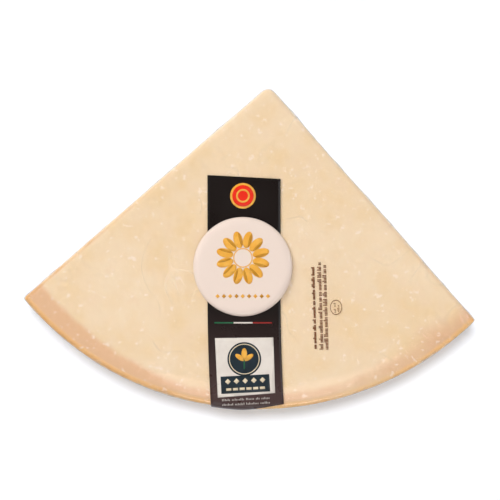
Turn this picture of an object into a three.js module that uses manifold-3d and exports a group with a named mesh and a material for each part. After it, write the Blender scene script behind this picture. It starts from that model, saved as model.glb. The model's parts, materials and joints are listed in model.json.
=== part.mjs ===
// An eighth of a hard cheese wheel, vacuum-packed in clear film with a strip label and a round label.
//
// The wheel is cut into quarters down its axis, and each quarter is cut across at the wheel's
// mid-height. The piece lies on the wheel's flat rind face, with the mid-height cut on top.
// Millimetres, +Z up. The wedge's bisector lies along Y with its tip towards +Y. The shapes are
// made around the wheel's axis, and the finished group is moved so that the origin is the
// centre of the object's base.

import * as THREE from 'three';
import { mergeVertices } from 'three/addons/utils/BufferGeometryUtils.js';
import Module from 'manifold-3d';

const wasm = await Module();
wasm.setup();

const degrees = Math.PI / 180;
const up = new THREE.Vector3(0, 0, 1);

// The wheel that the piece is cut from
const wheelRadius = 205; // at mid-height, where the barrel side is widest
const pieceHeight = 115; // half of the wheel's height
const barrelDrop = 7; // how much narrower the side would be at the base than at mid-height
const shoulderRadius = 12; // between the side and the flat rind face
const rimRadius = 3; // between the side and the top cut, pressed round by the film
const wheelSegments = 144;
const sideSteps = 8;
const filletSteps = 5;

// The two cuts down the axis
const halfAngle = 45.2 * degrees;
const tip = new THREE.Vector2(5.5, 11.5); // where the cuts would meet, a little past the wheel's axis
const tipRadius = 5.5;
const cutEdgeRadius = 2.5;
const cutReach = 340; // well past the wheel's side

// Clear film around the cheese, welded shut in a fin that lies flat on the rind side
const gap = 0.3; // between pieces that touch
const filmThickness = 0.3;
const weldHeight = 62; // top of the fin
const finWidth = 11;
const finThickness = 0.5;
const weldHalfSpan = 33 * degrees;
const mouthHeight = 0.5; // the welded mouth, left open by this much

// Labels, placed from the tip and turned a little from the bisector
const labelTurn = 3.9 * degrees;
const stripThickness = 0.3;
const stripLeft = -41;
const stripRight = 7.8;
const stripTop = [-59.8, -62.4]; // its upper edge is cut a little askew, left and right
const stripDrift = 2.7; // how far its lower end leans to the right
const stripEnd = [-223.3, -212.8]; // its lower edge, left and right, laid over the rim
const stripFold = 7; // how far down the rim it reaches
const roundLabelCentre = new THREE.Vector2(-17.4, -121);
const roundLabelRadius = 33.2;
const roundLabelThickness = 3;
const roundLabelEdge = 5.5; // width of its domed edge

const filmOffset = gap + filmThickness;
const stripOffset = filmOffset + gap + stripThickness;

// A closed geometry as a solid, with its doubled vertices merged and its faces turned outwards.
function solidFrom(geometry) {
  const bare = new THREE.BufferGeometry();
  bare.setAttribute('position', geometry.getAttribute('position'));
  if (geometry.index) bare.setIndex(geometry.index);
  const merged = mergeVertices(bare, 1e-3);
  const corners = merged.index.array;
  const triangles = [];
  for (let i = 0; i < corners.length; i += 3) {
    const [a, b, c] = corners.slice(i, i + 3);
    if (a !== b && b !== c && c !== a) triangles.push([a, b, c]);
  }
  const build = (list) => new wasm.Manifold(new wasm.Mesh({
    numProp: 3,
    vertProperties: merged.attributes.position.array,
    triVerts: new Uint32Array(list.flat()),
  }));
  const solid = build(triangles);
  return solid.volume() > 0 ? solid : build(triangles.map(([a, b, c]) => [a, c, b]));
}

function meshFrom(name, solid, material) {
  const { vertProperties, triVerts } = solid.getMesh();
  const geometry = new THREE.BufferGeometry();
  geometry.setAttribute('position', new THREE.BufferAttribute(vertProperties, 3));
  geometry.setIndex(new THREE.BufferAttribute(triVerts, 1));
  geometry.computeVertexNormals();
  const mesh = new THREE.Mesh(geometry, material);
  mesh.name = name;
  return mesh;
}

// How far the barrel side has drawn in at a height, on a parabola from mid-height to the base.
function barrelInset(height) {
  return barrelDrop * ((pieceHeight - height) / pieceHeight) ** 2;
}

// Points of a round corner in a turned profile, from one direction to another.
function fillet(centre, radius, from, to) {
  return Array.from({ length: filletSteps + 1 }, (_, i) => {
    const angle = from + ((to - from) * i) / filletSteps;
    return new THREE.Vector2(Math.cos(angle), Math.sin(angle)).multiplyScalar(radius).add(centre);
  });
}

// Half of the wheel, grown by an offset on all sides.
function halfWheel(offset) {
  const rimBottom = pieceHeight - rimRadius;
  const filletCentre = (height, radius) =>
    new THREE.Vector2(wheelRadius - barrelInset(height) - radius, height);
  const side = Array.from({ length: sideSteps - 1 }, (_, i) => {
    const height = shoulderRadius + ((rimBottom - shoulderRadius) * (i + 1)) / sideSteps;
    return new THREE.Vector2(wheelRadius - barrelInset(height) + offset, height);
  });
  const shoulder = filletCentre(shoulderRadius, shoulderRadius);
  const rim = filletCentre(rimBottom, rimRadius);
  const profile = [
    new THREE.Vector2(0, -offset),
    ...fillet(shoulder, shoulderRadius + offset, -90 * degrees, 0),
    ...side,
    ...fillet(rim, rimRadius + offset, 0, 90 * degrees),
    new THREE.Vector2(0, pieceHeight + offset),
  ];
  return solidFrom(new THREE.LatheGeometry(profile, wheelSegments).rotateX(90 * degrees));
}

// The prism between the two cuts, with a round tip and rounded long edges.
function cutPrism(offset) {
  const radius = tipRadius + offset;
  const centre = new THREE.Vector2(tip.x, tip.y - tipRadius / Math.sin(halfAngle));
  const normal = new THREE.Vector2(Math.cos(halfAngle), Math.sin(halfAngle));
  const along = new THREE.Vector2(Math.sin(halfAngle), -Math.cos(halfAngle));
  const end = normal.clone().multiplyScalar(radius).addScaledVector(along, cutReach);
  const shape = new THREE.Shape();
  shape.absarc(centre.x, centre.y, radius, halfAngle, 180 * degrees - halfAngle);
  shape.lineTo(centre.x - end.x, centre.y + end.y);
  shape.lineTo(centre.x + end.x, centre.y + end.y);
  shape.closePath();
  const edge = cutEdgeRadius + offset;
  const prism = new THREE.ExtrudeGeometry(shape, {
    depth: pieceHeight + 2 * offset - 2 * edge,
    bevelThickness: edge,
    bevelSize: edge,
    bevelOffset: -edge,
    bevelSegments: 3,
    curveSegments: 12,
  });
  return solidFrom(prism.translate(0, 0, edge - offset));
}

// The cheese's own shape, grown by an offset on all sides.
function wedge(offset) {
  return halfWheel(offset).intersect(cutPrism(offset));
}

// A flat ring piece around the wheel's axis, on both sides of the bisector.
function arcBand(inner, outer, halfSpan, bottom, height) {
  const middle = -90 * degrees;
  const shape = new THREE.Shape();
  shape.absarc(0, 0, outer, middle - halfSpan, middle + halfSpan);
  shape.absarc(0, 0, inner, middle + halfSpan, middle - halfSpan, true);
  shape.closePath();
  const band = new THREE.ExtrudeGeometry(shape, {
    depth: height,
    bevelEnabled: false,
    curveSegments: 24,
  });
  return solidFrom(band.translate(0, 0, bottom));
}

// The film follows the cheese all round. Its mouth runs along the rind side, and the two plies
// that are welded there make a thicker band just below it.
function filmBag() {
  const skin = wedge(filmOffset).subtract(wedge(gap));
  const inner = wheelRadius - barrelDrop;
  const outer = wheelRadius + filmOffset + finThickness;
  const mouth = arcBand(inner, outer, weldHalfSpan, weldHeight, mouthHeight);
  const weldArea = arcBand(inner, outer, weldHalfSpan, weldHeight - finWidth, finWidth);
  const fin = halfWheel(filmOffset + finThickness)
    .subtract(halfWheel(filmOffset - filmThickness / 2))
    .intersect(weldArea);
  return skin.subtract(mouth).add(fin);
}

const labelFrame = new THREE.Matrix4()
  .makeRotationAxis(up, labelTurn)
  .setPosition(tip.x, tip.y, 0);

// The black strip is a thin skin over the film, inside the strip's outline seen from above.
function stripLabel() {
  const skin = wedge(stripOffset).subtract(wedge(filmOffset + gap));
  const [topLeft, topRight] = stripTop;
  const [endLeft, endRight] = stripEnd;
  const bend = (topRight + endRight) / 2; // below this the sides lean over
  const outline = new THREE.Shape();
  outline.moveTo(stripLeft, topLeft);
  outline.lineTo(stripLeft, bend);
  outline.quadraticCurveTo(stripLeft, (bend + endLeft) / 2, stripLeft + stripDrift, endLeft);
  outline.lineTo(stripRight + stripDrift, endRight);
  outline.quadraticCurveTo(stripRight, (bend + endRight) / 2, stripRight, bend);
  outline.lineTo(stripRight, topRight);
  outline.closePath();
  const column = new THREE.ExtrudeGeometry(outline, {
    depth: stripFold + 2 * stripOffset,
    bevelEnabled: false,
    curveSegments: 6,
  });
  column.translate(0, 0, pieceHeight - stripFold).applyMatrix4(labelFrame);
  return skin.intersect(solidFrom(column));
}

// The round label is a disc whose edge falls away in a quarter of an ellipse.
function roundLabel() {
  const steps = 6;
  const edge = Array.from({ length: steps + 1 }, (_, i) => {
    const angle = (90 * degrees * i) / steps;
    return new THREE.Vector2(
      roundLabelRadius - roundLabelEdge * (1 - Math.cos(angle)),
      roundLabelThickness * Math.sin(angle),
    );
  });
  const profile = [new THREE.Vector2(0, 0), ...edge, new THREE.Vector2(0, roundLabelThickness)];
  const centre = new THREE.Vector3(roundLabelCentre.x, roundLabelCentre.y, 0)
    .applyMatrix4(labelFrame);
  const disc = new THREE.LatheGeometry(profile, 64).rotateX(90 * degrees);
  return solidFrom(disc.translate(centre.x, centre.y, pieceHeight + stripOffset + gap));
}

const cheeseMaterial = new THREE.MeshStandardMaterial({ color: '#f2d4ae', roughness: 0.6 });
const filmMaterial = new THREE.MeshStandardMaterial({
  color: '#ffffff',
  roughness: 0.15,
  transparent: true,
  opacity: 0.15,
});
const stripMaterial = new THREE.MeshStandardMaterial({ color: '#231c1a', roughness: 0.3 });
const roundLabelMaterial = new THREE.MeshStandardMaterial({ color: '#f0e4dc', roughness: 0.35 });

const wedgePack = new THREE.Group();
wedgePack.add(
  meshFrom('cheese', wedge(0), cheeseMaterial),
  meshFrom('vacuum_film', filmBag(), filmMaterial),
  meshFrom('strip_label', stripLabel(), stripMaterial),
  meshFrom('round_label', roundLabel(), roundLabelMaterial),
);

const box = new THREE.Box3().setFromObject(wedgePack);
const middle = box.getCenter(new THREE.Vector3());
wedgePack.position.set(-middle.x, -middle.y, -box.min.z);

export default wedgePack;
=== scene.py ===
# An eighth of a hard cheese wheel, vacuum-packed in clear film, with a strip label and a round label.
# It lies on the wheel's flat rind face, and the camera looks straight down on the cut face.
# Blender works in metres. Sizes in the dictionaries are in millimetres unless a note says otherwise.

import json
import math
import random

import bmesh
import bpy
from mathutils import Matrix, Vector, noise

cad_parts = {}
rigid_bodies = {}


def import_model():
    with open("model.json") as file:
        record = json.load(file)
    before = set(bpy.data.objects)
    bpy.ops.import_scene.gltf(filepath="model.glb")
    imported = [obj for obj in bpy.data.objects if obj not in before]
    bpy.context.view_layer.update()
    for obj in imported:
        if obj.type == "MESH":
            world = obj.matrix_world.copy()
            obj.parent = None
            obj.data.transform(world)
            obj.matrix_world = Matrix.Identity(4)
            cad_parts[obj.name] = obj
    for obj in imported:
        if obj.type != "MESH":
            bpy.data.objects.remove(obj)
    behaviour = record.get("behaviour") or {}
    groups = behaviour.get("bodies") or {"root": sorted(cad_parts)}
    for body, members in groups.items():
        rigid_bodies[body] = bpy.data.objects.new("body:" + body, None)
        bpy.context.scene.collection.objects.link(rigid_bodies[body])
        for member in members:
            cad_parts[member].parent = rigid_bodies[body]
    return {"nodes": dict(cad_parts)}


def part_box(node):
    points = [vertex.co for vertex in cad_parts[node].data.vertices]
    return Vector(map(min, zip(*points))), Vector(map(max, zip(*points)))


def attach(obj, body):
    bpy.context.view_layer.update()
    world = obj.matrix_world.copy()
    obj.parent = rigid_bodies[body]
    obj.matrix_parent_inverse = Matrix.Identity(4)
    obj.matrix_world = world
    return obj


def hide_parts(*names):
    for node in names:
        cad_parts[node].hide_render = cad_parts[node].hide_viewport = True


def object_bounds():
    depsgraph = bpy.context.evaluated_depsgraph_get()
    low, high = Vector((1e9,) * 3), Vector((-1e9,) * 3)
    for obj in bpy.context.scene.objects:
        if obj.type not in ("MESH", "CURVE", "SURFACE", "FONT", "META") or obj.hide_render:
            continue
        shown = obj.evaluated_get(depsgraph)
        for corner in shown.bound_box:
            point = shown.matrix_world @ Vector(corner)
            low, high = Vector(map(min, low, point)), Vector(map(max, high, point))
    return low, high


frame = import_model()
cadLow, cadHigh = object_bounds()
scene = bpy.context.scene
mm = 0.001
print("frame loaded")

cheeseLow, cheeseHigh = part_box("cheese")
filmLow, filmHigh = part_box("vacuum_film")
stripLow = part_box("strip_label")[0]
discLow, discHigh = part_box("round_label")

# The wheel that the wedge was cut from. Its axis is found from the wedge's left corner and its arc.
wheel = {
    "radius": 205,  # at the top cut
    "barrelDrop": 7,  # how much narrower the side gets towards the base
    "shoulder": 12,  # round edge between the side and the base
    "rim": 3,  # round edge between the side and the top cut
    "leftReach": 148.45,  # from the left corner to the axis
    "filmOffset": 0.6,  # outside of the film from the cheese
}
axis = Vector((
    cheeseLow.x + wheel["leftReach"] * mm,
    filmLow.y + (wheel["radius"] + wheel["filmOffset"]) * mm,
    0,
))
topCut = cheeseHigh.z
base = cheeseLow.z

# Labels and print are placed from the round label's centre, turned with the strip's lean.
labelTurn = math.radians(3.9)
discCentre = (discLow + discHigh) / 2
labelPlace = Matrix.Translation((discCentre.x, discCentre.y, 0)) @ Matrix.Rotation(labelTurn, 4, "Z")


def ease(low, high, value):
    # 0 at low, 1 at high, and smooth between them
    share = min(max((value - low) / (high - low), 0), 1)
    return share * share * (3 - 2 * share)


# Long shallow waves that the knife left, and a fall towards the rim where the film pulls the edge
# round. The film and the labels follow them.
waves = {"depth": 0.5, "length": 48, "contrast": 0.8, "rimFall": 1.0, "fallWidth": 17, "fallDepth": 8}


def sinking(place, upward=1.0):
    # how far a surface lies under its flat shape here, in metres; upward is its normal's z
    height = noise.noise(place / (waves["length"] * mm))
    sunk = waves["depth"] * min(max(0.5 - waves["contrast"] * height, 0), 1)
    if place.z > topCut - waves["fallDepth"] * mm:
        inward = wheel["radius"] - math.hypot(place.x - axis.x, place.y - axis.y) / mm
        near = min(max(1 - inward / waves["fallWidth"], 0), 1)
        sunk += waves["rimFall"] * (near * max(upward, 0)) ** 2
    return sunk * mm


def linear(code):
    # an sRGB hex colour as the linear values that shaders take
    channels = [int(code[i:i + 2], 16) / 255 for i in (1, 3, 5)]
    return (*[c / 12.92 if c <= 0.04045 else ((c + 0.055) / 1.055) ** 2.4 for c in channels], 1)


def addNode(tree, kind, inputs=None, stops=None, **settings):
    node = tree.nodes.new("ShaderNode" + kind)
    for name, value in settings.items():
        setattr(node, name, value)
    for position, (place, code) in enumerate(stops or []):
        ramp = node.color_ramp.elements
        element = ramp[position] if position < len(ramp) else ramp.new(place)
        element.position = place
        element.color = linear(code)
    for socket, value in (inputs or {}).items():
        if isinstance(value, bpy.types.NodeSocket):
            tree.links.new(value, node.inputs[socket])
        else:
            node.inputs[socket].default_value = value
    return node


def newMaterial(name):
    material = bpy.data.materials.new(name)
    material.use_nodes = True
    material.node_tree.nodes.clear()
    return material, material.node_tree


def pieceFrom(bm, name, material):
    # a bmesh as a finished piece that rides with the pack
    mesh = bpy.data.meshes.new(name)
    bm.to_mesh(mesh)
    bm.free()
    return finishPiece(bpy.data.objects.new(name, mesh), material)


def finishPiece(piece, material):
    if piece.name not in scene.collection.objects:
        scene.collection.objects.link(piece)
    piece.data.materials.clear()
    piece.data.materials.append(material)
    piece.data.polygons.foreach_set("use_smooth", [True] * len(piece.data.polygons))
    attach(piece, "root")
    return piece


def applyModifiers(piece):
    graph = bpy.context.evaluated_depsgraph_get()
    mesh = bpy.data.meshes.new_from_object(piece.evaluated_get(graph))
    piece.modifiers.clear()
    piece.data = mesh


def denseWedge(name, cell, rounds):
    # the cheese's solid as an even mesh of small cells, with its edges eased
    bm = bmesh.new()
    bm.from_mesh(frame["nodes"]["cheese"].data)
    bmesh.ops.remove_doubles(bm, verts=bm.verts, dist=0.001 * mm)
    mesh = bpy.data.meshes.new(name)
    bm.to_mesh(mesh)
    bm.free()
    wedge = bpy.data.objects.new(name, mesh)
    scene.collection.objects.link(wedge)
    cells = wedge.modifiers.new("cells", "REMESH")
    cells.mode = "VOXEL"
    cells.voxel_size = cell * mm
    eased = wedge.modifiers.new("eased", "SMOOTH")
    eased.factor = 0.5
    eased.iterations = rounds
    applyModifiers(wedge)
    return wedge


def moveVertices(mesh, newPlace):
    # every new place is worked out from the old shape before any vertex moves
    places = [newPlace(vertex.co.copy(), vertex.normal.copy()) for vertex in mesh.vertices]
    mesh.vertices.foreach_set("co", [number for place in places for number in place])
    mesh.update()


def barrelInset(height):
    # how far the barrel side has drawn in at a height over the base
    return wheel["barrelDrop"] * (1 - height / ((topCut - base) / mm)) ** 2


# Where a point lies on the wheel: its distance in from the side, its height over the base and its
# bearing from the wedge's middle, all as numbers in millimetres and degrees.
def onWheel(place):
    out = place - axis
    height = (place.z - base) / mm
    inward = wheel["radius"] - barrelInset(height) - math.hypot(out.x, out.y) / mm
    bearing = math.degrees(math.atan2(out.x, -out.y))
    return inward, height, bearing


def rindDepth(place):
    inward, height = onWheel(place)[:2]
    shoulder = wheel["shoulder"]
    if inward < shoulder and height < shoulder:
        return shoulder - math.hypot(shoulder - inward, shoulder - height)
    return min(inward, height)


# The cut face darkens towards the rind. At each bearing from the wedge's middle the band starts and is
# full this far in from the rind, and has this strength: clear on the left, a soft haze on the right.
rindBand = (
    (-45, 17.0, 12.0, 1.0), (-35, 17.2, 11.5, 1.0), (-25, 15.4, 9.0, 1.0), (-10, 12.8, 5.4, 0.95),
    (12, 11.8, 7.0, 0.75), (22, 13.0, 7.5, 0.58), (29, 16.0, 6.0, 0.7), (39, 25.0, 3.4, 0.95),
    (45, 19.0, 3.4, 1.0),
)
sideBand = {"start": 12, "full": 4}  # on the upright cuts and over the base
# how far under the top cut its band is full and gone, and the one on the sides is full
topReach = {"full": 2, "gone": 7, "sideFull": 9}


def bandShare(place):
    # 0 in the clear paste, 1 in the band at its darkest
    inward, _, bearing = onWheel(place)
    under = (topCut - place.z) / mm
    bearing = min(max(bearing, rindBand[0][0]), rindBand[-1][0])
    for lower, upper in zip(rindBand, rindBand[1:]):
        if bearing < upper[0]:
            break
    share = (bearing - lower[0]) / (upper[0] - lower[0])
    start, full, strength = (low + (high - low) * share for low, high in zip(lower[1:], upper[1:]))
    onTop = strength * ease(start, full, inward) * ease(topReach["gone"], topReach["full"], under)
    onSides = ease(sideBand["start"], sideBand["full"], rindDepth(place))
    return max(onTop, onSides * ease(topReach["full"], topReach["sideFull"], under))


# A darker gold is painted on the turned edges of the top cut, most on the left and towards the rind:
# painted shade where the edges turn away from the light.
edgeShade = {
    "left": 0.8,
    "right": 0.3,
    "clear": 40,  # none within this of the axis
    "full": 190,
    "drop": 6,  # none further than this under the top cut
    "turned": 0.9,  # full where the surface leans this far, as its normal's z
}


def edgeShadeShare(place, normal):
    # 0 on the flats, 1 on the turned edges where the upright cuts meet the top cut, where the painted shade
    # goes
    out = place - axis
    reach = ease(edgeShade["clear"], edgeShade["full"], math.hypot(out.x, out.y) / mm)
    level = ease(edgeShade["drop"], edgeShade["drop"] - 2, (topCut - place.z) / mm)
    strength = edgeShade["left" if normal.x < 0 else "right"]
    return strength * level * reach * ease(0.995, edgeShade["turned"], normal.z)


# Crumb holes and torn grains in the cut faces, and shallow dents in the rind
crumb = {
    "spacing": 8,  # between the places where a hole may be
    "share": 0.42,  # of those places that have one
    "radius": 1.5,
    "smallest": 0.45,  # as a share of the radius
    "flatFloor": 0.3,  # the same
    "depth": 0.75, "wobble": 0.5, "wobbleSize": 1.6, "seeds": (37, 91),
    "grain": 0.14, "grainSize": 3.2,
    "rindGrain": 0.35,  # share of the grain that the rind has
    "dent": 0.5, "dentSize": 22,
}
wedgeMesh = {
    "cell": 1.45,
    "rounds": 3,  # of easing
    "swell": 0.25,  # makes up for what the easing takes off
    "skin": (0.6, 3),  # depth where rind has turned to paste
}


def crumbDepth(place):
    distances, centres = noise.voronoi(place / (crumb["spacing"] * mm))
    pick, breadth = (abs(noise.cell(centres[0] * seed)) for seed in crumb["seeds"])
    if pick > crumb["share"]:
        return 0
    size = crumb["radius"] * (crumb["smallest"] + (1 - crumb["smallest"]) * breadth)
    wobble = 1 + crumb["wobble"] * noise.noise(place / (crumb["wobbleSize"] * mm))
    away = distances[0] * crumb["spacing"] * wobble
    return crumb["depth"] * mm * (1 - ease(crumb["flatFloor"] * size, size, away))


def makeCheese(material):
    cheese = denseWedge("cheese_wedge", wedgeMesh["cell"], wedgeMesh["rounds"])
    mesh = cheese.data

    def newPlace(place, normal):
        onCut = ease(*wedgeMesh["skin"], rindDepth(place))
        grain = noise.fractal(place / (crumb["grainSize"] * mm), 1.0, 2.0, 3)
        share = crumb["rindGrain"] + (1 - crumb["rindGrain"]) * onCut
        rough = crumb["grain"] * mm * (0.7 - grain) * share
        hollow = ease(0.1, 0.8, noise.noise(place / (crumb["dentSize"] * mm)))
        dents = crumb["dent"] * mm * hollow * (1 - onCut)
        inwards = sinking(place, normal.z) + rough + dents + crumbDepth(place) * onCut
        return place - normal * (inwards - wedgeMesh["swell"] * mm)

    values = {
        "rindDepth": [rindDepth(vertex.co) for vertex in mesh.vertices],  # mm
        "bandShare": [bandShare(vertex.co) for vertex in mesh.vertices],
        # share of the painted shade on the turned edges
        "edgeShadeShare": [edgeShadeShare(vertex.co, vertex.normal) for vertex in mesh.vertices],
    }
    moveVertices(mesh, newPlace)
    for name, numbers in values.items():
        mesh.attributes.new(name, "FLOAT", "POINT").data.foreach_set("value", numbers)
    finishPiece(cheese, material)
    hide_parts("cheese")
    print("cheese made,", len(mesh.polygons), "faces")
    return cheese


# Film drawn tight by the vacuum. It gathers in creases down from the edges and out from the corners.
film = {
    "cell": 2.06,
    "rounds": 3,  # of easing
    "wall": 0.1,  # real film is about 0.09
    "offset": 0.55,  # outside of the film from the cheese's eased shape
    "crease": 0.5,
    "sharpness": 3.5,  # more makes narrower creases
    "creaseWidth": 30,
    "creaseLength": 100,
    "fanSpread": 6,  # degrees round the wheel's axis between the creases on the flats
    "fanLength": 70,
    "crispEdge": (1, 9),  # creases start and are full this far under the top cut
}
# How loosely the film lies in each part, and how far each part reaches
slack = {
    "flat": 0.02, "tip": 0.3, "tipReach": 38, "corner": 0.3, "cornerDegrees": 5, "cornerReach": 45,
    "side": 0.3, "edgeReach": 26, "seam": 0.6, "seamHeight": 57, "seamReach": 9,
}
flatNormal = 0.7  # a surface lies flat where its normal's z is beyond this, up or down


def looseness(place, normal):
    # 0 where the film is drawn flat, 1 where it gathers
    inward, height, bearing = onWheel(place)
    if abs(normal.z) > flatNormal:
        atTip = math.exp(-(place - axis).xy.length / (slack["tipReach"] * mm))
        fromCorner = (45 - abs(bearing)) / slack["cornerDegrees"] + inward / slack["cornerReach"]
        return min(1, slack["flat"] + slack["tip"] * atTip + slack["corner"] * math.exp(-fromCorner))
    nearTop = math.exp(((place.z - topCut) / mm) / slack["edgeReach"])
    nearBase = math.exp(-height / slack["edgeReach"])
    nearSeam = math.exp(-abs(height - slack["seamHeight"]) / slack["seamReach"]) * ease(6, 2, inward)
    return min(1, slack["side"] + nearTop + nearBase + slack["seam"] * nearSeam)


def creaseHeight(place, normal):
    # creases run down the sides, and out from the tip on the flats
    if abs(normal.z) > flatNormal:
        out = place - axis
        bearing = math.degrees(math.atan2(out.x, -out.y))
        along = out.length / (film["fanLength"] * mm)
        line = Vector((bearing / film["fanSpread"], along, normal.z))
    else:
        squeeze = film["creaseWidth"] / film["creaseLength"]
        line = Vector((place.x, place.y, place.z * squeeze)) / (film["creaseWidth"] * mm)
    ridge = max(0, 1 - film["sharpness"] * abs(noise.noise(line)))
    # the edge round the top cut stays crisp
    clear = ease(*film["crispEdge"], (topCut - place.z) / mm)
    return film["crease"] * ridge * ridge * looseness(place, normal) * clear


def makeFilm(material):
    bag = denseWedge("clear_film", film["cell"], film["rounds"])

    def newPlace(place, normal):
        lift = (film["offset"] + creaseHeight(place, normal)) * mm - sinking(place, normal.z)
        moved = place + normal * lift
        return [min(max(moved[i], filmLow[i]), cadHigh[i]) for i in range(3)]

    gather = [looseness(vertex.co, vertex.normal) for vertex in bag.data.vertices]
    moveVertices(bag.data, newPlace)
    bag.data.attributes.new("looseness", "FLOAT", "POINT").data.foreach_set("value", gather)
    wall = bag.modifiers.new("wall", "SOLIDIFY")
    wall.thickness = film["wall"] * mm
    wall.offset = -1
    applyModifiers(bag)
    addFin(bag.data)
    finishPiece(bag, material)
    bag.visible_shadow = False  # film this clear throws no shadow
    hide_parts("vacuum_film")
    print("film made,", len(bag.data.polygons), "faces")
    return bag


# The bag's mouth is welded in a flat seam that lies down the rind side.
fin = {
    "top": 62,
    "width": 11,
    "halfSpan": 33,  # degrees round the wheel's axis
    "wall": 0.3,
    "cells": (220, 12),
    "lift": 0.42,  # of its inner side from the rind
    "weldEnd": (0.35, 0.45),  # shares of its width, from the top: pressed above, loose below
    "crimp": 0.1, "crimps": 5, "crimpEnd": (0.4, 0.6),  # fine lines in the pressed part
    "ruffle": 1.7, "ruffles": 26, "looseFrom": 0.25,
    "tight": 0.45,  # share of the ruffle left in the middle of the span
    "tightTo": 0.6,  # share of the half span
    "cornerCut": 0.5, "cornerFrom": 0.94,
}


def addFin(mesh):
    bm = bmesh.new()
    bm.from_mesh(mesh)
    seam = bm.verts.layers.float.new("seam")
    weld = bm.verts.layers.float.new("weld")
    bagSize = len(bm.verts)
    columns, rows = fin["cells"]
    made = bmesh.ops.create_grid(bm, x_segments=columns, y_segments=rows, size=0.5)["verts"]
    for vertex in made:
        across, down = vertex.co.x, 0.5 - vertex.co.y
        bearing = math.radians(2 * fin["halfSpan"] * across)
        outwards = 2 * abs(across)
        corner = 1 - fin["cornerCut"] * ease(fin["cornerFrom"], 1, outwards)
        height = fin["top"] - fin["width"] * down * corner
        loose = fin["tight"] + (1 - fin["tight"]) * ease(fin["tightTo"], 1, outwards)
        loose *= fin["ruffle"] * ease(fin["looseFrom"], 1, down)
        ruffle = noise.noise(Vector((across * fin["ruffles"], down * 0.8, 4.2)))
        crimp = fin["crimp"] * math.cos(down * math.tau * fin["crimps"])
        crimp *= 1 - ease(*fin["crimpEnd"], down)
        vertex[weld] = 1 - ease(*fin["weldEnd"], down)
        lift = fin["lift"] + crimp + loose * max(0, ruffle)
        radius = (wheel["radius"] - barrelInset(height) + lift) * mm
        vertex.co = axis + Vector((
            radius * math.sin(bearing), -radius * math.cos(bearing), base + height * mm - axis.z,
        ))
        vertex.co.y = max(vertex.co.y, cadLow.y + fin["wall"] * mm)
    faces = list({face for vertex in made for face in vertex.link_faces})
    bmesh.ops.recalc_face_normals(bm, faces=faces)
    bmesh.ops.solidify(bm, geom=faces, thickness=fin["wall"] * mm)
    for number, vertex in enumerate(bm.verts):
        if number >= bagSize:
            vertex[seam] = 1
    bmesh.ops.recalc_face_normals(bm, faces=[face for face in bm.faces if face.verts[0][seam]])
    bm.to_mesh(mesh)
    bm.free()


# Strip label, laid over the rim at its slanted lower end. Its corners are places from the round label.
strip = {
    "left": -23.6,
    "right": 25.2,
    "top": (61.2, 58.6),  # left and right ends of the upper edge
    "end": (-100.4, -91.8),  # the same for the lower edge
    "bend": -16,  # below this the sides lean over
    "drift": 2.7,
    "wall": 0.25,
    "lift": 0.35,  # underside over the film
    "cell": 2.0,
}
stripBase = filmHigh.z + 0.3 * mm
stripTop = stripBase + strip["wall"] * mm


def overRim(place, lift):
    # a point of a flat sheet, laid round the rim and down the side
    out = place - axis
    out.z = 0
    reach = out.length
    start = (wheel["radius"] - wheel["rim"]) * mm
    bend = (wheel["rim"] + lift) * mm
    past = reach - start
    if past <= 0:
        return place
    turn = min(past / bend, math.pi / 2)
    down = bend * (1 - math.cos(turn)) + max(0, past - bend * math.pi / 2)
    outwards = out.normalized() * (start + bend * math.sin(turn))
    return Vector((axis.x + outwards.x, axis.y + outwards.y, place.z - down))


def makeStrip(material):
    width = strip["right"] - strip["left"]
    length = strip["top"][0] - strip["end"][0]
    bm = bmesh.new()
    bmesh.ops.create_grid(
        bm,
        x_segments=round(width / strip["cell"]),
        y_segments=round(length / strip["cell"]),
        size=0.5,
    )
    for vertex in bm.verts:
        across, along = vertex.co.x + 0.5, vertex.co.y + 0.5
        top = strip["top"][0] + (strip["top"][1] - strip["top"][0]) * across
        end = strip["end"][0] + (strip["end"][1] - strip["end"][0]) * across
        y = end + (top - end) * along
        lean = max(0, (strip["bend"] - y) / (strip["bend"] - strip["end"][0]))
        x = strip["left"] + width * across + strip["drift"] * lean * lean
        flat = labelPlace @ Vector((x * mm, y * mm, stripBase))
        vertex.co = overRim(flat, wheel["filmOffset"] + strip["lift"])
        vertex.co.z -= sinking(Vector((flat.x, flat.y, topCut)))
    bmesh.ops.recalc_face_normals(bm, faces=bm.faces)
    if bm.faces[0].normal.z < 0:
        bmesh.ops.reverse_faces(bm, faces=bm.faces)
    bmesh.ops.solidify(bm, geom=bm.faces[:], thickness=-strip["wall"] * mm)
    bmesh.ops.recalc_face_normals(bm, faces=bm.faces)
    sheet = pieceFrom(bm, "strip_sheet", material)
    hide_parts("strip_label")
    return sheet


# Round label with a clear domed coat. Its top is a little under the frame's, to leave room for ink.
disc = {"radius": 33.2, "edge": 5.5, "thickness": 2.85, "flatRings": 7, "edgeRings": 10, "segments": 96}
discTop = discLow.z + disc["thickness"] * mm


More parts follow.
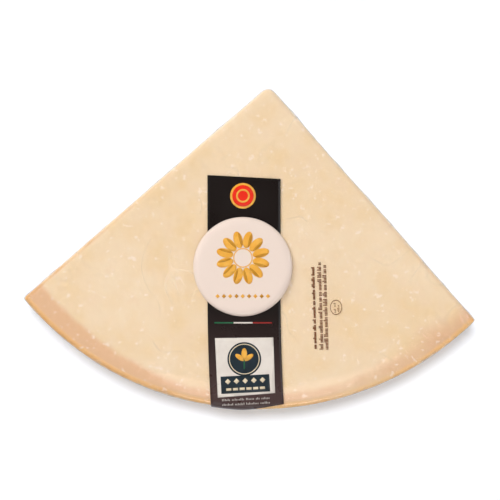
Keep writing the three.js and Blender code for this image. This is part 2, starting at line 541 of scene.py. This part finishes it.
def makeDisc(material):
    bm = bmesh.new()
    flat = disc["radius"] - disc["edge"]
    profile = [
        Vector((flat * step / disc["flatRings"], 0, disc["thickness"])) * mm
        for step in range(disc["flatRings"] + 1)
    ]
    for step in range(1, disc["edgeRings"] + 1):
        angle = math.radians(90) * (1 - step / disc["edgeRings"])
        outwards = disc["radius"] - disc["edge"] * (1 - math.cos(angle))
        profile.append(Vector((outwards, 0, disc["thickness"] * math.sin(angle))) * mm)
    profile.append(Vector((0, 0, 0)))
    verts = [bm.verts.new(place) for place in profile]
    edges = [bm.edges.new(pair) for pair in zip(verts, verts[1:])]
    bmesh.ops.spin(
        bm, geom=verts + edges, cent=(0, 0, 0), axis=(0, 0, 1), angle=math.tau,
        steps=disc["segments"], use_merge=True,
    )
    bmesh.ops.remove_doubles(bm, verts=bm.verts, dist=0.001 * mm)
    bmesh.ops.recalc_face_normals(bm, faces=bm.faces)
    for vertex in bm.verts:
        vertex.co = vertex.co + Vector((discCentre.x, discCentre.y, discLow.z))
        vertex.co.z -= sinking(Vector((vertex.co.x, vertex.co.y, topCut)))
    label = pieceFrom(bm, "round_disc", material)
    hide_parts("round_label")
    return label


# Ink. Each print is a thin solid in layers over its ground, cut fine enough to follow the waves.
ink = {"thickness": 0.05, "lift": 0.04, "cell": 3, "roundSegments": 48}


def inkPlace(centre, size, turn=0.0):
    # from a shape of one millimetre to its size, turn and place on the labels
    place = Matrix.Translation((centre[0] * mm, centre[1] * mm, 0)) @ Matrix.Rotation(turn, 4, "Z")
    return labelPlace @ place @ Matrix.Diagonal((size[0], size[1], 1, 1))


def addBar(bm, centre, size, turn=0.0):
    bmesh.ops.create_grid(
        bm, x_segments=1, y_segments=1, size=0.5 * mm, matrix=inkPlace(centre, size, turn),
    )


def addDot(bm, centre, radii, turn=0.0, segments=ink["roundSegments"]):
    bmesh.ops.create_circle(
        bm, cap_ends=True, segments=segments, radius=mm, matrix=inkPlace(centre, radii, turn),
    )


def addRing(bm, centre, outer, inner, squash=1.0):
    edges = []
    for radius in (outer, inner):
        made = bmesh.ops.create_circle(
            bm, cap_ends=False, segments=ink["roundSegments"], radius=mm,
            matrix=inkPlace(centre, (radius * squash, radius)),
        )
        edges += list({edge for vertex in made["verts"] for edge in vertex.link_edges})
    bmesh.ops.bridge_loops(bm, edges=edges)


def makePrint(bm, name, ground, layer, material, cut=True):
    # cut into cells on one grid, raised to its ground and layer, and given its thickness
    lows = [min(vertex.co[i] for vertex in bm.verts) for i in range(2)]
    highs = [max(vertex.co[i] for vertex in bm.verts) for i in range(2)]
    cell = ink["cell"] * mm
    for i in range(2 if cut else 0):
        normal = Vector((1 - i, i, 0))
        for step in range(math.floor(lows[i] / cell) + 1, math.ceil(highs[i] / cell)):
            bmesh.ops.bisect_plane(
                bm, geom=bm.verts[:] + bm.edges[:] + bm.faces[:],
                plane_co=normal * step * cell, plane_no=normal,
            )
    for vertex in bm.verts:
        height = ground + (ink["lift"] + layer * ink["thickness"]) * mm
        vertex.co.z = height - sinking(Vector((vertex.co.x, vertex.co.y, topCut)))
    for face in bm.faces:
        face.normal_update()
    bmesh.ops.reverse_faces(bm, faces=[face for face in bm.faces if face.normal.z < 0])
    bmesh.ops.solidify(bm, geom=bm.faces[:], thickness=-ink["thickness"] * mm)
    bmesh.ops.recalc_face_normals(bm, faces=bm.faces)
    return pieceFrom(bm, name, material)


# A rosette of gold petals round an open middle, over a row of small lozenges
rosette = {
    "centre": (0.1, 5.9), "petals": 12, "reach": 12.4, "petal": (5.7, 3.05), "petalSegments": 32,
    "vein": (4.6, 0.8), "veinShift": -1.5, "veinSegments": 20, "ring": (6.5, 5.8),
}
lozenges = {"count": 9, "y": -19.7, "spacing": 4.2, "size": 2.1}


def makeDiscPrint(light, dark):
    centre = Vector((*rosette["centre"], 0))
    petals, veins = bmesh.new(), bmesh.new()
    for number in range(rosette["petals"]):
        turn = math.tau * (number + 0.5) / rosette["petals"]
        spoke = Matrix.Rotation(turn, 3, "Z")
        middle = centre + spoke @ Vector((rosette["reach"], 0, 0))
        beside = centre + spoke @ Vector((rosette["reach"], rosette["veinShift"], 0))
        addDot(petals, middle, rosette["petal"], turn, rosette["petalSegments"])
        addDot(veins, beside, rosette["vein"], turn, rosette["veinSegments"])
    addRing(petals, rosette["centre"], *rosette["ring"])
    for number in range(lozenges["count"]):
        x = lozenges["spacing"] * (number - (lozenges["count"] - 1) / 2)
        target = petals if number % 2 == 0 else veins
        addBar(target, (x, lozenges["y"]), (lozenges["size"], lozenges["size"]), math.radians(45))
    makePrint(petals, "rosette_petals", discTop, 0, light)
    makePrint(veins, "rosette_veins", discTop, 1, dark)


# A round seal of three plain rings above the round label
seal = {"centre": (0.1, 47.3), "outer": 8.6, "middle": 7.2, "ring": (4.6, 3.4)}


def makeSeal(gold, red):
    outer, middle, heart = bmesh.new(), bmesh.new(), bmesh.new()
    addDot(outer, seal["centre"], (seal["outer"],) * 2)
    addDot(middle, seal["centre"], (seal["middle"],) * 2)
    addRing(heart, seal["centre"], *seal["ring"])
    makePrint(outer, "seal_ground", stripTop, 0, gold)
    makePrint(middle, "seal_disc", stripTop, 1, red)
    makePrint(heart, "seal_ring", stripTop, 2, gold)


# A thin rule in three colours under the round label
rule = {"left": -19, "right": 19.5, "y": -37.5, "width": 1.0}


def makeRule(colours):
    third = (rule["right"] - rule["left"]) / 3
    for number, (name, material) in enumerate(colours.items()):
        bm = bmesh.new()
        addBar(bm, (rule["left"] + third * (number + 0.5), rule["y"]), (third, rule["width"]))
        makePrint(bm, "rule_" + name, stripTop, 0, material)


# A pale panel near the rim, with a dark disc that holds a sprig and a dark bar of small marks
panel = {
    "corners": ((-18.6, -47.7), (20.4, -47.3), (21.6, -84.4), (-16.7, -87.5)),
    "roundel": (1.0, -61.7), "roundelRadius": 11.3, "rim": (10.2, 9.65),
    "bar": (1.7, -78.4), "barSize": (32.6, 11.6), "barTurn": 3,
}
# rows of marks on the bar: how many, their spacing, size and turn, and how far up from its middle
barMarks = ((5, 5.8, (2.7, 2.7), 45, 2.2), (6, 4.5, (3.4, 1.7), 0, -3.1))
# leaves, from a point just under the roundel's centre: bearing, reach, and half length and width
sprig = {
    "leaves": ((90, 4.4, (3.9, 1.9)), (35, 3.6, (3.6, 1.6)), (145, 3.6, (3.6, 1.6))),
    "leafSegments": 24, "drop": 1, "stem": (0.9, 6.2), "stemDrop": 3.6,
}


def makePanel(pale, dark, gold, cream, leafGreen):
    sheet = bmesh.new()
    corners = [labelPlace @ Vector((x * mm, y * mm, 0)) for x, y in panel["corners"]]
    bmesh.ops.contextual_create(sheet, geom=[sheet.verts.new(corner) for corner in corners])
    makePrint(sheet, "panel_sheet", stripTop, 0, pale)

    ground, marks = bmesh.new(), bmesh.new()
    turn = math.radians(panel["barTurn"])
    addDot(ground, panel["roundel"], (panel["roundelRadius"],) * 2)
    addBar(ground, panel["bar"], panel["barSize"], turn)
    makePrint(ground, "panel_dark", stripTop, 1, dark)

    addRing(marks, panel["roundel"], *panel["rim"])
    tilt = Matrix.Rotation(turn, 3, "Z")
    for count, spacing, size, markTurn, rise in barMarks:
        for number in range(count):
            shift = tilt @ Vector((spacing * (number - (count - 1) / 2), rise, 0))
            addBar(marks, Vector((*panel["bar"], 0)) + shift, size, turn + math.radians(markTurn))
    makePrint(marks, "panel_marks", stripTop, 2, cream)

    leaves, stem = bmesh.new(), bmesh.new()
    x, y = panel["roundel"]
    for bearing, reach, size in sprig["leaves"]:
        angle = math.radians(bearing)
        centre = (x + reach * math.cos(angle), y - sprig["drop"] + reach * math.sin(angle))
        addDot(leaves, centre, size, angle, sprig["leafSegments"])
    addBar(stem, (x, y - sprig["stemDrop"]), sprig["stem"])
    makePrint(leaves, "panel_leaves", stripTop, 2, gold)
    makePrint(stem, "panel_stem", stripTop, 2, leafGreen)


# Small print: strokes in groups, low ones and tall ones
stroke = {
    "width": 0.42, "pitch": 0.95, "gap": 0.9, "low": 0.62, "tall": 0.95, "lowShare": 0.65,
    "group": (3, 9), "margin": 1,
}


def addWords(bm, start, direction, length, height, draw, bold=1.0):
    # a line of small strokes in groups, which stands for small print and spells nothing
    along = Vector((math.cos(direction), math.sin(direction), 0))
    upward = Vector((-along.y, along.x, 0))
    travelled = 0
    while travelled < length - stroke["margin"]:
        for _ in range(draw.randint(*stroke["group"])):
            tall = height * stroke["low" if draw.random() < stroke["lowShare"] else "tall"]
            centre = Vector((*start, 0)) + along * travelled + upward * (tall - height) / 2
            addBar(bm, centre, (stroke["width"] * bold, tall), direction)
            travelled += stroke["pitch"]
            if travelled > length - stroke["margin"] / 2:
                break
        travelled += stroke["gap"]


# Two lines of it under the panel, and three up the film beside the strip with a small oval
finePrint = {
    "seed": 11,
    "under": ((-13.6, -89.2), (-13.4, -92.3)), "underLength": 32.5, "underTurn": 3, "underHeight": 1.5,
    "oval": (62.3, -27.2), "ovalRadii": (5.0, 4.55), "ovalSquash": 0.8, "ovalHeight": 1.4,
}
sideTurn = math.radians(91.7)
# start, length, height and boldness of each line beside the strip
sideLines = (((48.2, -54.5), 56, 2.3, 1.9), ((52.4, -55), 58, 2.8, 1.45), ((55.8, -55), 57, 2.9, 1.45))
ovalLines = (((1.4, -2.6), 5), ((-0.9, -3.2), 6.2))  # start from the oval's middle, and length


def makeFinePrint(cream, brown):
    draw = random.Random(finePrint["seed"])
    under, side = bmesh.new(), bmesh.new()
    underTurn = math.radians(finePrint["underTurn"])
    for start in finePrint["under"]:
        addWords(under, start, underTurn, finePrint["underLength"], finePrint["underHeight"], draw)
    for start, length, height, bold in sideLines:
        addWords(side, start, sideTurn, length, height, draw, bold)
    x, y = finePrint["oval"]
    addRing(side, (x, y), *finePrint["ovalRadii"], finePrint["ovalSquash"])
    for (right, rise), length in ovalLines:
        addWords(side, (x + right, y + rise), sideTurn, length, finePrint["ovalHeight"], draw)
    makePrint(under, "small_print_strip", stripTop, 0, cream, cut=False)
    makePrint(side, "small_print_film", filmHigh.z + ink["thickness"] * mm, 0, brown, cut=False)


# Materials
cheeseColours = {
    # the gold at the rim's edge is the rind's own gold painted lighter, as painted light against the shade
    # where the rim turns away
    "paste": ("#efd2a7", "#f1d7b3", "#f3dcbc"), "band": "#e6bb93", "goldEdgeAndGlow": "#fdca84",
    "crystal": "#fdeadb", "rind": ("#d8a055", "#e2b066", "#e9bd74", "#efca88"),
    # the darker gold for the turned edges is painted shade
    "mottle": "#c48842", "scuff": "#efd3a2", "edgeShade": "#d9a263",
}


def hardCheese():
    # aged cow's milk paste, cut by knife: dull, faintly oily and grainy, with pale specks of crystal
    # and a rind that dries from straw to golden brown
    material, tree = newMaterial("hard cheese paste and rind")
    place = addNode(tree, "TexCoord").outputs["Object"]
    depth = addNode(tree, "Attribute", attribute_name="rindDepth").outputs["Fac"]
    band = addNode(tree, "Attribute", attribute_name="bandShare").outputs["Fac"]
    edgeShaded = addNode(tree, "Attribute", attribute_name="edgeShadeShare").outputs["Fac"]

    # paste: clouds 45 mm and 14 mm wide
    broad = addNode(tree, "TexNoise", {"Vector": place, "Scale": 22, "Detail": 4, "Roughness": 0.55})
    patches = addNode(tree, "TexNoise", {"Vector": place, "Scale": 75, "Detail": 3, "Roughness": 0.6})
    clouds = addNode(tree, "Math", {0: broad.outputs["Fac"], 1: patches.outputs["Fac"]})
    halved = addNode(tree, "Math", {0: clouds.outputs[0], 1: 0.5}, operation="MULTIPLY")
    paste = addNode(
        tree, "ValToRGB", {"Fac": halved.outputs[0]},
        stops=zip((0.38, 0.5, 0.62), cheeseColours["paste"]),
    )

    # the band under the rind, which turns to gold in its last few millimetres; that gold is the rind's own,
    # painted lighter as painted light against the shade where the rim turns away
    gold = addNode(
        tree, "MapRange", {"Value": depth, "From Min": 1.0, "From Max": 4.5, "To Min": 1.0, "To Max": 0.0},
        interpolation_type="SMOOTHSTEP",
    )
    bandColour = addNode(
        tree, "Mix",
        {
            "Factor": gold.outputs[0], "A": linear(cheeseColours["band"]),
            "B": linear(cheeseColours["goldEdgeAndGlow"]),
        },
        data_type="RGBA",
    )
    frayed = addNode(
        tree, "MapRange",
        {
            "Value": patches.outputs["Fac"], "From Min": 0.3, "From Max": 0.7,
            "To Min": -0.22, "To Max": 0.22,
        },
    )
    shifted = addNode(tree, "Math", {0: band, 1: frayed.outputs[0]})
    share = addNode(tree, "MapRange", {"Value": shifted.outputs[0], "From Min": 0.08, "From Max": 0.95})
    banded = addNode(
        tree, "Mix",
        {"Factor": share.outputs[0], "A": paste.outputs["Color"], "B": bandColour.outputs[2]},
        data_type="RGBA",
    )

    # crystals 1 to 3 mm wide, ragged, about one in each square centimetre
    flecks = addNode(tree, "TexNoise", {"Vector": place, "Scale": 290, "Detail": 3, "Roughness": 0.5})
    speck = addNode(
        tree, "MapRange",
        {"Value": flecks.outputs["Fac"], "From Min": 0.625, "From Max": 0.69, "To Max": 0.6},
        interpolation_type="SMOOTHSTEP",
    )
    speckled = addNode(
        tree, "Mix",
        {"Factor": speck.outputs[0], "A": banded.outputs[2], "B": linear(cheeseColours["crystal"])},
        data_type="RGBA",
    )

    # rind: golden, in clouds 40 mm wide and brown mottles 7 mm wide, with a few pale scuffs
    weather = addNode(tree, "TexNoise", {"Vector": place, "Scale": 26, "Detail": 5, "Roughness": 0.5})
    rindClouds = addNode(
        tree, "ValToRGB", {"Fac": weather.outputs["Fac"]},
        stops=zip((0.36, 0.5, 0.62, 0.72), cheeseColours["rind"]),
    )
    mottles = addNode(tree, "TexNoise", {"Vector": place, "Scale": 150, "Detail": 5, "Roughness": 0.65})
    mottle = addNode(
        tree, "MapRange",
        {"Value": mottles.outputs["Fac"], "From Min": 0.48, "From Max": 0.68, "To Max": 0.6},
    )
    mottled = addNode(
        tree, "Mix",
        {
            "Factor": mottle.outputs[0], "A": rindClouds.outputs["Color"],
            "B": linear(cheeseColours["mottle"]),
        },
        data_type="RGBA",
    )
    scratched = addNode(tree, "Mapping", {"Vector": place, "Scale": (1, 1, 0.35)})
    scuffs = addNode(
        tree, "TexNoise", {"Vector": scratched.outputs[0], "Scale": 120, "Detail": 6, "Roughness": 0.7},
    )
    scuffShare = addNode(
        tree, "MapRange",
        {"Value": scuffs.outputs["Fac"], "From Min": 0.55, "From Max": 0.75, "To Max": 0.5},
    )
    rindColour = addNode(
        tree, "Mix",
        {"Factor": scuffShare.outputs[0], "A": mottled.outputs[2], "B": linear(cheeseColours["scuff"])},
        data_type="RGBA",
    )
    rindFac = addNode(
        tree, "MapRange", {"Value": depth, "From Min": 0.1, "From Max": 1.1, "To Min": 1.0, "To Max": 0.0},
        interpolation_type="SMOOTHSTEP",
    )
    colour = addNode(
        tree, "Mix",
        {"Factor": rindFac.outputs[0], "A": speckled.outputs[2], "B": rindColour.outputs[2]},
        data_type="RGBA",
    )

    # painted shade on the turned edges, stronger in some places than in others
    uneven = addNode(
        tree, "MapRange",
        {"Value": patches.outputs["Fac"], "From Min": 0.35, "From Max": 0.65, "To Min": 0.35},
    )
    edgeShadeMix = addNode(tree, "Math", {0: edgeShaded, 1: uneven.outputs[0]}, operation="MULTIPLY")
    skin = addNode(
        tree, "Mix",
        {"Factor": edgeShadeMix.outputs[0], "A": colour.outputs[2], "B": linear(cheeseColours["edgeShade"])},
        data_type="RGBA",
    )

    # grain 0.6 mm wide, drawn at 1.1 mm so that it shows, and the rind's dry fibres
    grain = addNode(tree, "TexNoise", {"Vector": place, "Scale": 900, "Detail": 3, "Roughness": 0.6})
    squeezed = addNode(tree, "Mapping", {"Vector": place, "Scale": (1, 1, 0.3)})
    fibres = addNode(tree, "TexNoise", {"Vector": squeezed.outputs[0], "Scale": 420, "Detail": 4})
    height = addNode(
        tree, "Mix", {"Factor": rindFac.outputs[0], "A": grain.outputs["Fac"], "B": fibres.outputs["Fac"]},
        data_type="FLOAT",
    )
    bump = addNode(tree, "Bump", {"Height": height.outputs[0], "Strength": 0.22, "Distance": 0.25 * mm})
    rough = addNode(
        tree, "MapRange",
        {
            "Value": patches.outputs["Fac"], "From Min": 0.35, "From Max": 0.65,
            "To Min": 0.5, "To Max": 0.68,
        },
    )
    shader = addNode(
        tree, "BsdfPrincipled",
        {
            "Base Color": skin.outputs[2], "Roughness": rough.outputs[0], "IOR": 1.45,
            "Normal": bump.outputs[0], "Subsurface Weight": 0.08, "Subsurface Scale": 1.2 * mm,
            "Subsurface Radius": (1.0, 0.65, 0.35),
        },
    )
    addNode(tree, "OutputMaterial", {"Surface": shader.outputs[0]})
    return material


def clearFilm():
    # co-extruded polyamide and polyethylene vacuum bag: clear and glossy, a little milky in its creases
    material, tree = newMaterial("clear vacuum film")
    place = addNode(tree, "TexCoord").outputs["Object"]
    gather = addNode(tree, "Attribute", attribute_name="looseness").outputs["Fac"]

    # shallow puckers 6 mm apart, which come and go in patches 40 mm wide
    puckers = addNode(
        tree, "TexNoise", {"Vector": place, "Scale": 165, "Detail": 1, "Roughness": 0.4, "Distortion": 0.4},
    )
    where = addNode(tree, "TexNoise", {"Vector": place, "Scale": 26, "Detail": 2})
    loose = addNode(
        tree, "MapRange", {"Value": where.outputs["Fac"], "From Min": 0.5, "From Max": 0.66},
        interpolation_type="SMOOTHSTEP",
    )
    lying = addNode(tree, "MapRange", {"Value": loose.outputs[0], "To Max": 0.35})
    pucker = addNode(tree, "Math", {0: puckers.outputs["Fac"], 1: lying.outputs[0]}, operation="MULTIPLY")

    # long creases 30 mm apart, mostly down the sides, in patches
    drawn = addNode(tree, "Mapping", {"Vector": place, "Scale": (1, 1, 0.4)})
    folds = addNode(
        tree, "TexNoise", {"Vector": drawn.outputs[0], "Scale": 34, "Detail": 1, "Distortion": 0.9},
    )
    offFold = addNode(tree, "Math", {0: folds.outputs["Fac"], 1: 0.5}, operation="SUBTRACT")
    fromFold = addNode(tree, "Math", {0: offFold.outputs[0]}, operation="ABSOLUTE")
    fold = addNode(
        tree, "MapRange", {"Value": fromFold.outputs[0], "From Max": 0.05, "To Min": 1.0, "To Max": 0.0},
        interpolation_type="SMOOTHSTEP",
    )
    patchy = addNode(
        tree, "MapRange", {"Value": where.outputs["Fac"], "From Min": 0.4, "From Max": 0.56},
        interpolation_type="SMOOTHSTEP",
    )
    gathered = addNode(tree, "Math", {0: patchy.outputs[0], 1: gather}, operation="MULTIPLY")
    crease = addNode(tree, "Math", {0: fold.outputs[0], 1: gathered.outputs[0]}, operation="MULTIPLY")
    height = addNode(tree, "Math", {0: pucker.outputs[0], 1: crease.outputs[0]})
    bump = addNode(tree, "Bump", {"Height": height.outputs[0], "Strength": 0.7, "Distance": 0.8 * mm})

    # a few long thin pale lines where the film is folded on itself
    folded = addNode(
        tree, "TexNoise", {"Vector": place, "Scale": 20, "Detail": 1, "Roughness": 0.4, "Distortion": 0.5},
    )
    offMiddle = addNode(tree, "Math", {0: folded.outputs["Fac"], 1: 0.5}, operation="SUBTRACT")
    away = addNode(tree, "Math", {0: offMiddle.outputs[0]}, operation="ABSOLUTE")
    line = addNode(
        tree, "MapRange",
        {"Value": away.outputs[0], "From Max": 0.01, "To Min": 0.07, "To Max": 0.0},
        interpolation_type="SMOOTHSTEP",
    )
    faint = addNode(tree, "Math", {0: line.outputs[0], 1: loose.outputs[0]}, operation="MULTIPLY")
    milk = addNode(
        tree, "Math", {0: crease.outputs[0], 1: 0.1, 2: faint.outputs[0]}, operation="MULTIPLY_ADD",
    )

    # the seam is milkier than the bag, most where its two plies are pressed together
    seam = addNode(tree, "Attribute", attribute_name="seam").outputs["Fac"]
    seamMilk = addNode(tree, "MapRange", {"Value": seam, "To Min": 0.012, "To Max": 0.03})
    weld = addNode(tree, "Attribute", attribute_name="weld").outputs["Fac"]
    pressed = addNode(tree, "Math", {0: weld, 1: 0.12, 2: seamMilk.outputs[0]}, operation="MULTIPLY_ADD")
    haze = addNode(tree, "Math", {0: milk.outputs[0], 1: pressed.outputs[0]})

    clear = addNode(tree, "BsdfTransparent")
    pale = addNode(tree, "BsdfDiffuse", {"Color": linear("#f4efe6")})
    body = addNode(tree, "MixShader", {0: haze.outputs[0], 1: clear.outputs[0], 2: pale.outputs[0]})
    gloss = addNode(tree, "BsdfGlossy", {"Roughness": 0.1, "Normal": bump.outputs[0]})
    # mirrored share: 0.04 head on, rising at a glance, and the same from both sides of the film
    facing = addNode(tree, "LayerWeight", {"Blend": 0.5})
    glance = addNode(tree, "Math", {0: facing.outputs["Facing"], 1: 5.0}, operation="POWER")
    mirror = addNode(tree, "MapRange", {"Value": glance.outputs[0], "To Min": 0.04, "To Max": 0.6})
    shader = addNode(tree, "MixShader", {0: mirror.outputs[0], 1: body.outputs[0], 2: gloss.outputs[0]})
    addNode(tree, "OutputMaterial", {"Surface": shader.outputs[0]})
    return material


paintedSheen = {"from": -42, "to": -105}  # where the strip's black is painted lighter and browner towards the rim, along Y: a painted sheen


def labelStock(name, code, roughness, coat, sheenCode=None):
    # printed polypropylene label with a faint orange peel in its varnish
    material, tree = newMaterial(name)
    place = addNode(tree, "TexCoord").outputs["Object"]
    peel = addNode(tree, "TexNoise", {"Vector": place, "Scale": 420, "Detail": 2})
    bump = addNode(tree, "Bump", {"Height": peel.outputs["Fac"], "Strength": 0.12, "Distance": 0.1 * mm})
    smear = addNode(tree, "TexNoise", {"Vector": place, "Scale": 45, "Detail": 3})
    rough = addNode(
        tree, "MapRange",
        {
            "Value": smear.outputs["Fac"], "From Min": 0.35, "From Max": 0.65,
            "To Min": roughness - 0.05, "To Max": roughness + 0.08,
        },
    )
    colour = linear(code)
    # a lighter brown painted in towards the rim along Y, as a painted sheen
    if sheenCode:
        along = addNode(tree, "SeparateXYZ", {0: place})
        sheenShare = addNode(
            tree, "MapRange",
            {"Value": along.outputs["Y"], "From Min": paintedSheen["from"] * mm, "From Max": paintedSheen["to"] * mm},
        )
        mixed = addNode(
            tree, "Mix", {"Factor": sheenShare.outputs[0], "A": colour, "B": linear(sheenCode)},
            data_type="RGBA",
        )
        colour = mixed.outputs[2]
    shader = addNode(
        tree, "BsdfPrincipled",
        {
            "Base Color": colour, "Roughness": rough.outputs[0], "IOR": 1.49,
            "Normal": bump.outputs[0], "Coat Weight": coat, "Coat Roughness": 0.08,
        },
    )
    addNode(tree, "OutputMaterial", {"Surface": shader.outputs[0]})
    return material


def printInk(name, code, lighter):
    # offset ink: the colour lies unevenly, by a few parts in a hundred
    material, tree = newMaterial(name)
    place = addNode(tree, "TexCoord").outputs["Object"]
    lay = addNode(tree, "TexNoise", {"Vector": place, "Scale": 160, "Detail": 3})
    colour = addNode(tree, "ValToRGB", {"Fac": lay.outputs["Fac"]}, stops=[(0.35, code), (0.65, lighter)])
    shader = addNode(
        tree, "BsdfPrincipled", {"Base Color": colour.outputs["Color"], "Roughness": 0.38, "IOR": 1.5},
    )
    addNode(tree, "OutputMaterial", {"Surface": shader.outputs[0]})
    return material


makeCheese(hardCheese())
makeFilm(clearFilm())
# the strip's brown towards the rim is a painted sheen
makeStrip(labelStock("black label film", "#130b08", 0.3, 0.0, "#463331"))
makeDisc(labelStock("white domed label", "#efdccf", 0.32, 0.3))
print("labels made")

inks = {
    "gold": printInk("gold ink", "#eda83a", "#f3b650"),
    "amber": printInk("amber ink", "#c4841b", "#d09430"),
    "red": printInk("red ink", "#ea2812", "#ee321b"),
    "darkRed": printInk("dark red ink", "#8e201d", "#982823"),
    "green": printInk("green ink", "#1f5a3a", "#286844"),
    "white": printInk("white ink", "#dfd5cb", "#e6ddd3"),
    "teal": printInk("dark teal ink", "#18252b", "#1f2f38"),
    "cream": printInk("cream ink", "#e2cfae", "#eadabc"),
    "pale": printInk("pale ink", "#cfc6be", "#d8d0c8"),
    "brown": printInk("brown ink", "#74401f", "#824c2a"),
}
makeDiscPrint(inks["gold"], inks["amber"])
makeSeal(inks["gold"], inks["red"])
makeRule({"green": inks["green"], "white": inks["white"], "red": inks["darkRed"]})
makePanel(inks["white"], inks["teal"], inks["gold"], inks["cream"], inks["green"])
makeFinePrint(inks["pale"], inks["brown"])
print("print made")

# Studio: a pale floor that glows a little, like a light table, and soft light all round that is dimmer
# straight above. One sun lights only the floor, so that the pack's shadow hugs it, and one lights
# only the pack. A soft light from behind on the left models the pack, soft boxes on three sides show
# in the film, and a small warm card hangs over the strip.
studio = {
    "floorGlow": 0.22, "sky": 0.24, "zenith": 0.3, "floorSun": 2.0, "floorSunFrom": (-0.34, 0.9, 12.5),
    "packSun": 0.9, "packSunFrom": (-0.4, 0.7, 6), "sunSpread": 5, "floorColour": "#e8eef7",
    "floorReach": 6,  # metres
    "dimCone": (0.94, 0.988),  # height of a direction where the sky starts to dim and is dimmest
    "lens": 600, "sensor": 36, "fieldWidth": 334, "cameraShift": (-2.2, -0.8),
    "farClip": 20,  # metres
}
# place in metres, width and height in metres, power in watts, colour, and whether it only models the
# pack or shows in the gloss and lights the floor too
softBoxes = {
    "side_light": ((-1.6, 1.6, 1.7), (1.2, 1.2), 44, (1, 1, 1), True),
    "right_box": ((1.3, 0.2, 1.1), (0.35, 0.9), 2.2, (1, 1, 1), False),
    "left_box": ((-1.3, 0.3, 1.1), (0.35, 0.9), 1.4, (1, 1, 1), False),
    "front_box": ((0.1, -1.35, 1.1), (0.9, 0.35), 2.6, (1, 1, 1), False),
    "warm_card": ((0.03, -0.32, 1.5), (0.3, 0.3), 0.4, (1, 0.76, 0.74), False),
}


def makeFloor():
    bm = bmesh.new()
    bmesh.ops.create_grid(bm, x_segments=1, y_segments=1, size=studio["floorReach"])
    mesh = bpy.data.meshes.new("floor")
    bm.to_mesh(mesh)
    bm.free()
    floor = bpy.data.objects.new("floor", mesh)
    scene.collection.objects.link(floor)
    material, tree = newMaterial("pale floor")
    shader = addNode(
        tree, "BsdfPrincipled",
        {
            "Base Color": linear(studio["floorColour"]), "Roughness": 0.9, "Specular IOR Level": 0.1,
            "Emission Color": (1, 1, 1, 1), "Emission Strength": studio["floorGlow"],
        },
    )
    addNode(tree, "OutputMaterial", {"Surface": shader.outputs[0]})
    mesh.materials.append(material)


def makeSky():
    world = bpy.data.worlds.new("studio")
    world.use_nodes = True
    world.node_tree.nodes.clear()
    tree = world.node_tree
    direction = addNode(tree, "SeparateXYZ", {0: addNode(tree, "TexCoord").outputs["Generated"]})
    dimStart, dimmest = studio["dimCone"]
    strength = addNode(
        tree, "MapRange",
        {
            "Value": direction.outputs["Z"], "From Min": dimStart, "From Max": dimmest,
            "To Min": studio["sky"], "To Max": studio["zenith"] * studio["sky"],
        },
        interpolation_type="SMOOTHSTEP",
    )
    light = addNode(tree, "Background", {"Color": (1, 1, 1, 1), "Strength": strength.outputs[0]})
    addNode(tree, "OutputWorld", {"Surface": light.outputs[0]})
    scene.world = world


def addLight(name, kind, place, power, only=None):
    # aimed at the origin; only is the collection that it lights, if not all
    light = bpy.data.lights.new(name, kind)
    light.energy = power
    lamp = bpy.data.objects.new(name, light)
    lamp.location = place
    lamp.rotation_euler = Vector(place).to_track_quat("Z", "Y").to_euler()
    if only:
        lamp.light_linking.receiver_collection = only
        lamp.visible_glossy = False
    scene.collection.objects.link(lamp)
    return light


def makeLights():
    ground, pack = bpy.data.collections.new("ground"), bpy.data.collections.new("pack")
    for piece in scene.collection.objects:
        if piece.type == "MESH":
            (ground if piece.name == "floor" else pack).objects.link(piece)
    floorSun = addLight("floor_sun", "SUN", studio["floorSunFrom"], studio["floorSun"], ground)
    packSun = addLight("pack_sun", "SUN", studio["packSunFrom"], studio["packSun"], pack)
    floorSun.angle = packSun.angle = math.radians(studio["sunSpread"])
    for name, (place, size, power, colour, modelling) in softBoxes.items():
        softBox = addLight(name, "AREA", place, power, pack if modelling else None)
        softBox.shape = "RECTANGLE"
        softBox.size, softBox.size_y = size
        softBox.color = colour


def makeCamera():
    lens = bpy.data.cameras.new("camera")
    lens.lens = studio["lens"]
    lens.sensor_width = studio["sensor"]
    lens.clip_end = studio["farClip"]
    camera = bpy.data.objects.new("camera", lens)
    away = studio["fieldWidth"] * mm * studio["lens"] / studio["sensor"]
    right, rise = studio["cameraShift"]
    camera.location = (right * mm, rise * mm, topCut + away)
    camera.rotation_euler = (0, 0, labelTurn)
    scene.collection.objects.link(camera)
    scene.camera = camera


makeFloor()
makeSky()
makeLights()
makeCamera()
scene.view_settings.view_transform = "Standard"
print("studio made")
